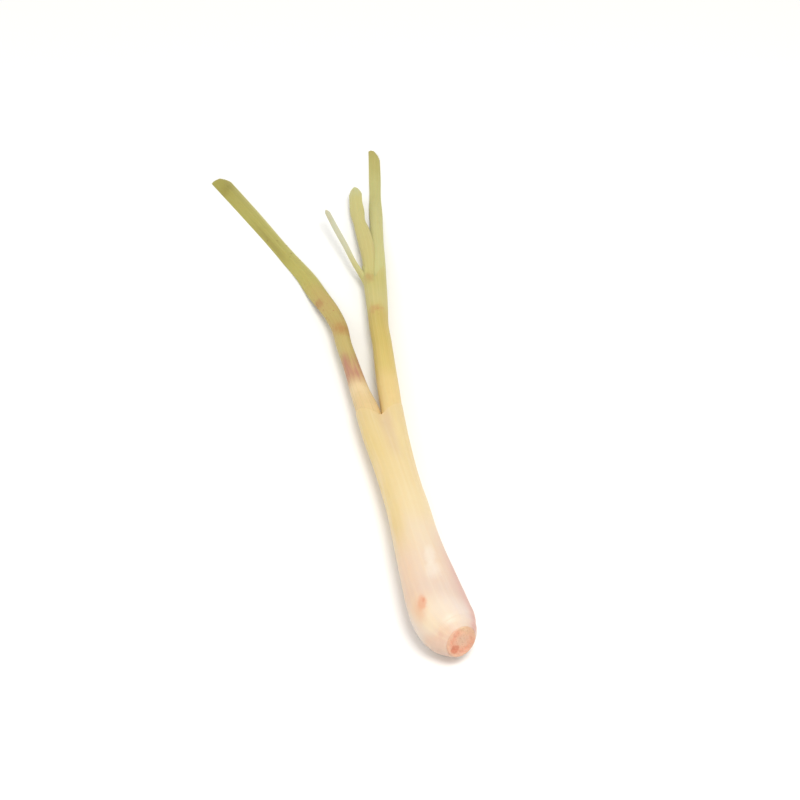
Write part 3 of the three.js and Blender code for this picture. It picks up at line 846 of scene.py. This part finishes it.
# the right shoot's sheath, with a V-shaped mouth of its own
mainSheath = {
    # x, y, z of the middle line, width, height, in mm
    "stations": [
        (-16.4, 90.0, 8.8, 10.0, 9.6),
        (-18.5, 104.0, 8.6, 10.6, 9.5),
        (-19.65, 119.9, 8.6, 9.5, 9.9),
        (-20.75, 131.0, 8.2, 9.7, 9.6),
        (-22.0, 143.0, 7.8, 9.6, 8.9),
        (-24.2, 167.0, 7.1, 8.9, 8.5),
        (-25.7, 180.0, 6.7, 9.0, 8.5),
        (-26.4, 191.5, 6.3, 9.7, 8.7),
        (-27.2, 204.5, 5.8, 10.5, 8.4),
        (-28.0, 216.0, 5.3, 11.1, 7.9),
        (-28.6, 226.0, 5.0, 11.5, 7.4),
    ],
    "points": 220,
    "mouth": (191.5, 226.0),  # mm of Y between which the sheath dents and squares off
    "squareness": 2.6,
    "dent": (0.7, 0.08, 0.3),  # depth, place across and width
    "thick": (1.4, 0.3),
    "thinning": (150.0, 210.0),
    "ribsShut": 0.5,  # how much of the ribs shows below the mouth
    "lap": 0.25, "seam": 153.0, "margin": 0.18, "wrap": 187.0, "wave": 0.25,
    "sheet": {
        "Rows": 330, "Columns": 96, "Rib count": 16.0, "End share": 0.16,
        "Notch depth": 12.0 * mm, "Notch at": 0.15, "Ragged": 1.6 * mm, "Seed": 51,
    },
    "look": {
        **sideLeaf["look"], "tintsAndPaintedShading": [],
        "colors": [
            (90, (224, 194, 134)), (120, (219, 191, 130)), (134, (216, 189, 124)), (150, (202, 179, 102)),
            (167, (194, 172, 92)), (183, (188, 167, 90)), (196, (192, 180, 114)), (213, (188, 177, 104)),
            (228, (192, 186, 120)),
        ],
        "freckles": [
            {"scale": 620.0, "at": 188.0, "reach": 6.0, "color": (186, 98, 66), "strength": 0.7},
        ],
        "spotsAndPaintedHighlights": [
            {"at": (-27.4, 188.0, 10.3), "size": (5.0, 4.4, 3.4), "core": 0.0, "color": (186, 132, 82),
             "strength": 0.55, "grain": 520.0, "ragged": 1.8},
            {"at": (-30.7, 213.2, 8.9), "size": (3.8, 6.0, 4.0), "core": 0.0, "color": (176, 130, 80),
             "strength": 0.55, "grain": 330.0, "ragged": 1.1},
        ],
        "streakColor": (200, 166, 96), "streak": 0.16, "ribColor": (234, 212, 160), "rib": 0.08,
        "paleColor": (236, 214, 162), "ribs": 16.0, "fineRibs": 48.0,
        "glow": 0.15, "glowDepth": 3.0, "bump": 0.13,
    },
}


def makeMainSheath():
    rows = smoothRows(mainSheath["stations"], mainSheath["points"])
    y = rows[:, 1]
    opening = ease(y, *mainSheath["mouth"])
    low, high = mainSheath["thick"]
    thick = low + (high - low) * ease(y, *mainSheath["thinning"])
    dent, dentAt, dentWidth = mainSheath["dent"]
    ribs = mainSheath["ribsShut"] + (1 - mainSheath["ribsShut"]) * opening
    spine = spineObject(
        "mainSheath", rows[:, :3] * mm,
        section=(rows[:, 3] / 2 * mm, rows[:, 4] / 2 * mm, thick * mm),
        form=(math.radians(mainSheath["wrap"]), 0.0, 2 + (mainSheath["squareness"] - 2) * opening),
        groove=(dent * opening * mm, dentAt, dentWidth),
        margins=(mainSheath["lap"] * mm, math.radians(mainSheath["seam"]), mainSheath["margin"] * mm),
        relief=(ribs, 0.0, mainSheath["wave"] * mm))
    return rollSheet(spine, mainSheath["sheet"], skinMaterial("mainSheathSkin", mainSheath["look"]))


# the stem's cut end: a disc with a rim, a ring groove and strands of vessels, in mm
rootStem = {
    "centre": (6.7, -14.0, 11.15), "towards": (0.54, -0.807, 0.24),
    "radius": 6.65, "proud": 1.8, "sunk": 4.0, "sides": 140, "rings": 60,
    "wallRows": (-2.0, 0.3),  # heights between the sunk end and the rim
    "rim": ((0.03, 0.7), (0.14, 0.35)),  # steps in from the wall and down from the face
    "rimWidth": 0.35,
    "ring": 4.3, "ringWidth": 0.6, "ringDepth": 0.18,
    "pith": 3.0, "pithDepth": 0.15,
    "uneven": 0.3, "unevenScale": 0.7, "unevenNoise": (0.6, 2.0, 4),
    "crater": (-3.3, -1.9, 1.7, 0.25),  # across, up, radius and depth
}


# the disc's own axes: outwards, to the right and up
def rootAxes():
    axis = Vector(rootStem["towards"]).normalized()
    right = Vector((0, 0, 1)).cross(axis).normalized()
    return axis, right, axis.cross(right)


# the face's height at a place across and up, which is that far from the centre
def rootHeight(x, y, r):
    height = rootStem["proud"]
    height -= rootStem["ringDepth"] * math.exp(-(((r - rootStem["ring"]) / rootStem["ringWidth"]) ** 2))
    height -= rootStem["pithDepth"] * math.exp(-((r / rootStem["pith"]) ** 4))
    cx, cy, size, depth = rootStem["crater"]
    height -= depth * math.exp(-(((x - cx) ** 2 + (y - cy) ** 2) / size ** 2))
    scale = rootStem["unevenScale"]
    place = Vector((x * scale, y * scale, 3.0))
    return height + rootStem["uneven"] * noise.fractal(place, *rootStem["unevenNoise"])


def makeRootDisc():
    axis, right, over = rootAxes()
    centre = Vector(rootStem["centre"])
    radius, proud, sunk = rootStem["radius"], rootStem["proud"], rootStem["sunk"]
    n = rootStem["sides"]
    wall = [(radius, h) for h in (-sunk, *rootStem["wallRows"])]
    wall += [(radius - inwards, proud - down) for inwards, down in rootStem["rim"]]
    inner = radius - rootStem["rimWidth"]
    face = [inner * (1 - k / rootStem["rings"]) for k in range(rootStem["rings"])]
    points, faces = [], []
    for r, wallHeight in wall + [(r, None) for r in face]:
        for k in range(n):
            a = 2 * math.pi * k / n
            x, y = r * math.cos(a), r * math.sin(a)
            h = rootHeight(x, y, r) if wallHeight is None else wallHeight
            points.append((centre + right * x + over * y + axis * h) * mm)
    for row in range(len(wall) + len(face) - 1):
        for k in range(n):
            a, b = row * n + k, row * n + (k + 1) % n
            faces.append((a, b, b + n, a + n))
    points += [(centre + axis * rootHeight(0, 0, 0)) * mm, (centre - axis * sunk) * mm]
    last = (len(wall) + len(face) - 1) * n
    for k in range(n):
        faces.append((last + k, last + (k + 1) % n, len(points) - 2))
        faces.append(((k + 1) % n, k, len(points) - 1))
    mesh = bpy.data.meshes.new("rootStem")
    mesh.from_pydata([tuple(p) for p in points], [], faces)
    mesh.shade_smooth()
    return addObject("rootStem", mesh)


# strand ends, domes of a few faces each, spaced out over the disc's face but not its wall
strands = {
    "spacing": 0.62 * mm, "radius": 0.13 * mm, "size": (0.5, 1.25), "facing": 0.8,
    "mostPerArea": 4.0e6, "seed": 5,
}


def buildStrandTree():
    tree, given = startTree("vesselStrands", [
        ("Facing", "NodeSocketVector", None), ("Spacing", "NodeSocketFloat", None),
        ("Radius", "NodeSocketFloat", None), ("Seed", "NodeSocketInt", None),
        ("Material", "NodeSocketMaterial", None)])
    normal = tree.nodes.new("GeometryNodeInputNormal").outputs[0]
    facing = Field(tree, vectorMath(tree, "DOT_PRODUCT", normal, given["Facing"]).outputs["Value"])
    spots = addNode(tree, "GeometryNodeDistributePointsOnFaces", {
        "Mesh": given["Geometry"], "Selection": facing.op("GREATER_THAN", strands["facing"]),
        "Distance Min": given["Spacing"], "Density Max": strands["mostPerArea"], "Seed": given["Seed"]},
        distribute_method="POISSON")
    dome = addNode(tree, "GeometryNodeMeshUVSphere", {"Segments": 7, "Rings": 5, "Radius": given["Radius"]})
    domes = addNode(tree, "GeometryNodeInstanceOnPoints", {
        "Points": spots.outputs["Points"], "Instance": dome.outputs["Mesh"],
        "Rotation": spots.outputs["Rotation"],
        "Scale": randomSocket(tree, given["Seed"], *strands["size"])}).outputs[0]
    domes = addNode(tree, "GeometryNodeRealizeInstances", {"Geometry": domes}).outputs[0]
    domes = addNode(tree, "GeometryNodeSetShadeSmooth", {"Geometry": domes}).outputs[0]
    endTree(tree, joinMeshes(tree, domes, given["Geometry"]), given["Material"])
    return tree


# Colours of the cut face. The bands run outwards from their centre, in shares of their span. The
# washes lie over them, each from nothing at its first value to its full strength at the second.
# A noise is given by its scale, detail and roughness.
rootLook = {
    "bands": [
        (0.0, (212, 176, 150)), (0.36, (217, 175, 148)), (0.54, (221, 168, 140)), (0.7, (220, 158, 130)),
        (0.84, (224, 168, 140)), (0.97, (221, 176, 148)),
    ],
    "bandCentre": (0.5, 0.4), "bandSpan": 6.5,
    "blotNoise": (420.0, 4.0, 0.6), "bandBlot": 2.6, "craterBlot": 1.6, "upperBlot": 3.0,
    "washes": {
        "upper": {"color": (222, 190, 154), "between": (3.5, 7.0), "strength": 0.8},
        # painted shade: the right part of the cut face, turned away from the light, darker
        "right": {"color": (208, 158, 132), "between": (1.0, 5.5), "strength": 0.5},
        "crater": {"color": (206, 130, 100), "between": (1.35, 0.75), "strength": 0.9},
        "specks": {"color": (196, 132, 100), "between": (0.3, 0.1), "strength": 0.35},
        "wall": {"color": (206, 150, 118), "between": (0.9, 0.1), "strength": 0.6},
        "blots": {"color": (226, 190, 160), "between": (0.1, 0.3), "strength": 0.4},
    },
    "speckScale": 1500.0, "speckBump": -0.4,
    "rough": 0.5, "roughVaried": 0.2, "roughNoise": (900.0, 3.0, 0.5),
    "poreNoise": (1800.0, 4.0, 0.7), "bump": 0.5, "bumpDepth": 0.15,
    "glow": 0.15, "glowDepth": 2.0, "glowTint": (1.0, 0.5, 0.3),
}


def rootMaterial():
    material, tree, shader, place = startMaterial("rootCut")
    moved = vectorMath(tree, "SUBTRACT", place, Vector(rootStem["centre"]) * mm).outputs[0]
    h, x, y = [Field(tree, vectorMath(tree, "DOT_PRODUCT", moved, direction).outputs["Value"]) / mm
               for direction in rootAxes()]

    def distance(cx, cy):
        return ((x - cx) * (x - cx) + (y - cy) * (y - cy)) ** 0.5

    blot = noiseField(tree, place, *rootLook["blotNoise"]) - 0.5
    away = distance(*rootLook["bandCentre"]) + blot * rootLook["bandBlot"]
    color = colorRamp(tree, away / rootLook["bandSpan"], rootLook["bands"])
    cx, cy, size = rootStem["crater"][:3]
    dots = addNode(tree, "ShaderNodeTexVoronoi", {"Vector": place, "Scale": rootLook["speckScale"]})
    fields = {
        "upper": x + y + blot * rootLook["upperBlot"],
        # painted shade on the right part of the face
        "right": x,
        "crater": distance(cx, cy) / size + blot * rootLook["craterBlot"],
        "specks": Field(tree, dots.outputs["Distance"]),
        "wall": h,
        "blots": blot,
    }
    masks = {name: fields[name].ramp(*wash["between"]) for name, wash in rootLook["washes"].items()}
    for name, wash in rootLook["washes"].items():
        color = blendColor(tree, color, wash["color"], masks[name] * wash["strength"])
    tree.links.new(color, shader.inputs["Base Color"])
    addGlow(shader, rootLook["glow"], rootLook["glowDepth"], rootLook["glowTint"])
    dull = noiseField(tree, place, *rootLook["roughNoise"]) * rootLook["roughVaried"] + rootLook["rough"]
    plug(tree, dull, shader.inputs["Roughness"])
    pores = noiseField(tree, place, *rootLook["poreNoise"]) + masks["specks"] * rootLook["speckBump"]
    addBump(tree, shader, pores, rootLook["bump"], rootLook["bumpDepth"])
    return material


def makeRoot():
    return applyTree(makeRootDisc(), buildStrandTree(), {
        "Facing": tuple(rootAxes()[0]), "Spacing": strands["spacing"], "Radius": strands["radius"],
        "Seed": strands["seed"], "Material": rootMaterial()})


def finishPiece(piece, node):
    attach(piece, "root")
    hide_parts(node)


finishPiece(makeBulb(), "bulb_sheath")
finishPiece(makeRoot(), "root_stem")
finishPiece(makeMainSheath(), "main_sheath")
finishPiece(makeLeaf("tornStrip", tornStrip), "main_sheath")
finishPiece(makeLeaf("sideLeaf", sideLeaf), "side_leaf")
finishPiece(makeLeaf("tallLeaf", tallLeaf), "tall_leaf")
finishPiece(makeLeaf("middleLeaf", middleLeaf), "middle_leaf")
print("pieces made")


stageSet = {
    "floorSize": 6.0, "floorColor": (0.93, 0.93, 0.92), "floorRoughness": 0.9,
    "worldColor": (1.0, 0.99, 0.97), "worldStrength": 0.75,
    "aim": (-0.02, 0.1, 0.0),  # where the softboxes point, in m as all of the stage
    "softboxes": [
        {"name": "key", "place": (0.2, -0.25, 0.95), "size": 0.5, "power": 6.0, "color": (1.0, 0.98, 0.95)},
        {"name": "fill", "place": (-0.9, 0.3, 0.6), "size": 0.9, "power": 1.5, "color": (1.0, 0.98, 0.96)},
    ],
}
camera = {"place": (-0.0160, -0.4921, 0.5656), "tilt": 48.0, "lens": 85.0, "sensor": 36.0}


def makeStage():
    half = stageSet["floorSize"] / 2
    mesh = bpy.data.meshes.new("floor")
    corners = [(-half, -half, 0), (half, -half, 0), (half, half, 0), (-half, half, 0)]
    mesh.from_pydata(corners, [], [(0, 1, 2, 3)])
    paint = bpy.data.materials.new("floorPaint")
    paint.use_nodes = True
    shader = paint.node_tree.nodes["Principled BSDF"]
    shader.inputs["Base Color"].default_value = (*stageSet["floorColor"], 1.0)
    shader.inputs["Roughness"].default_value = stageSet["floorRoughness"]
    mesh.materials.append(paint)
    floor = addObject("floor", mesh)
    world = bpy.data.worlds.new("studio")
    world.use_nodes = True
    background = world.node_tree.nodes["Background"]
    background.inputs["Color"].default_value = (*stageSet["worldColor"], 1.0)
    background.inputs["Strength"].default_value = stageSet["worldStrength"]
    bpy.context.scene.world = world


def addSoftbox(softbox):
    light = bpy.data.lights.new(softbox["name"], "AREA")
    light.shape = "DISK"
    light.size = softbox["size"]
    light.energy = softbox["power"]
    light.color = softbox["color"]
    lamp = addObject(softbox["name"], light)
    lamp.location = softbox["place"]
    towards = Vector(stageSet["aim"]) - Vector(softbox["place"])
    lamp.rotation_euler = towards.to_track_quat("-Z", "Y").to_euler()


def makeCamera():
    data = bpy.data.cameras.new("camera")
    data.lens = camera["lens"]
    data.sensor_width = camera["sensor"]
    view = addObject("camera", data)
    view.location = camera["place"]
    view.rotation_euler = (math.radians(camera["tilt"]), 0.0, 0.0)
    bpy.context.scene.camera = view


makeStage()
for softbox in stageSet["softboxes"]:
    addSoftbox(softbox)
makeCamera()
bpy.context.scene.view_settings.view_transform = "Standard"
print("stage set")
